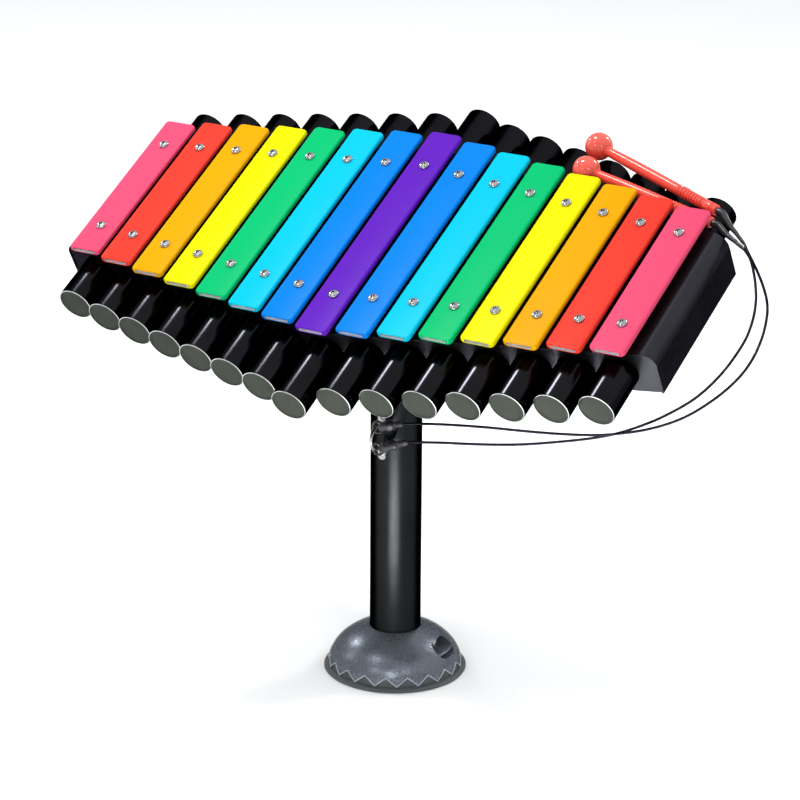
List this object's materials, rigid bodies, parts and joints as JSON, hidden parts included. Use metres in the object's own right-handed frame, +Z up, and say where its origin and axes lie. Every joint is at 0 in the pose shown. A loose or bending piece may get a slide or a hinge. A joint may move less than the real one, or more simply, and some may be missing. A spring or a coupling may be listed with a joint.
{
  "type": "outdoor glockenspiel",
  "caption": "Outdoor glockenspiel on a floor post: rainbow tone bars on a tilted black box deck, a resonator tube under each bar, tethered mallets and a rubber base cover.",
  "frame": {"origin": "centre of the base plate's bolt circle, on the floor, on the post's axis", "axes": "+Z up along the post; X runs across the tone bars, with the mallets' handle ends towards +X; the player stands on the -Y side, where the deck is lower"},
  "size_m": [1.2242, 0.6463, 0.9551],
  "materials": {
    "bar_pink": "gloss powder coat",
    "bar_red": "gloss powder coat",
    "bar_orange": "gloss powder coat",
    "bar_yellow": "gloss powder coat",
    "bar_green": "gloss powder coat",
    "bar_cyan": "gloss powder coat",
    "bar_blue": "gloss powder coat",
    "bar_purple": "gloss powder coat",
    "tube_black": "gloss black powder coat",
    "cap_metal": "turned face with a bright rim",
    "stainless": "polished stainless",
    "nylon": "natural nylon",
    "spacer_rubber": "matte",
    "frame_black": "satin black powder coat",
    "post_black": "satin black powder coat",
    "zinc_steel": "zinc plated",
    "cover_rubber": "speckled satin rubber",
    "sleeve_black": "heat-shrink sleeve",
    "cable_black": "coated wire rope",
    "mallet_rubber": "gloss moulded rubber",
    "mallet_plastic": "gloss moulded nylon"
  },
  "bodies": {
    "root": {"tone_bar_01": "bar_pink", "tone_bar_02": "bar_red", "tone_bar_03": "bar_orange", "tone_bar_04": "bar_yellow", "tone_bar_05": "bar_green", "tone_bar_06": "bar_cyan", "tone_bar_07": "bar_blue", "tone_bar_08": "bar_purple", "tone_bar_09": "bar_blue", "tone_bar_10": "bar_cyan", "tone_bar_11": "bar_green", "tone_bar_12": "bar_yellow", "tone_bar_13": "bar_orange", "tone_bar_14": "bar_red", "tone_bar_15": "bar_pink", "resonator_01": "tube_black", "resonator_02": "tube_black", "resonator_03": "tube_black", "resonator_04": "tube_black", "resonator_05": "tube_black", "resonator_06": "tube_black", "resonator_07": "tube_black", "resonator_08": "tube_black", "resonator_09": "tube_black", "resonator_10": "tube_black", "resonator_11": "tube_black", "resonator_12": "tube_black", "resonator_13": "tube_black", "resonator_14": "tube_black", "resonator_15": "tube_black", "front_caps": "cap_metal", "rear_caps": "cap_metal", "bar_screws": "stainless", "bar_bushes": "nylon", "bar_spacers": "spacer_rubber", "bar_nuts": "stainless", "top_deck": "frame_black", "bottom_pan": "frame_black", "front_panel": "frame_black", "rear_panel": "frame_black", "post_head": "post_black", "head_bolts": "stainless", "head_nuts": "stainless", "post": "post_black", "base_plate": "zinc_steel", "base_skirt": "cover_rubber", "base_cover": "cover_rubber", "cover_screw": "stainless", "pad_eye": "stainless", "pad_eye_screws": "stainless", "crimp_sleeves": "sleeve_black", "tether_1": "cable_black", "tether_2": "cable_black"},
    "mallet_1": {"mallet_1_head": "mallet_rubber", "mallet_1_handle": "mallet_plastic", "mallet_1_ferrule": "sleeve_black"},
    "mallet_2": {"mallet_2_head": "mallet_rubber", "mallet_2_handle": "mallet_plastic", "mallet_2_ferrule": "sleeve_black"}
  },
  "joints": [
    {"name": "mallet_1_lift", "type": "slide", "parent": "root", "child": "mallet_1", "axis": [0.203, 0.3009, 0.9318], "range_m": [0, 0.16]},
    {"name": "mallet_2_lift", "type": "slide", "parent": "root", "child": "mallet_2", "axis": [0.367, 0.197, 0.9091], "range_m": [0, 0.16]}
  ]
}
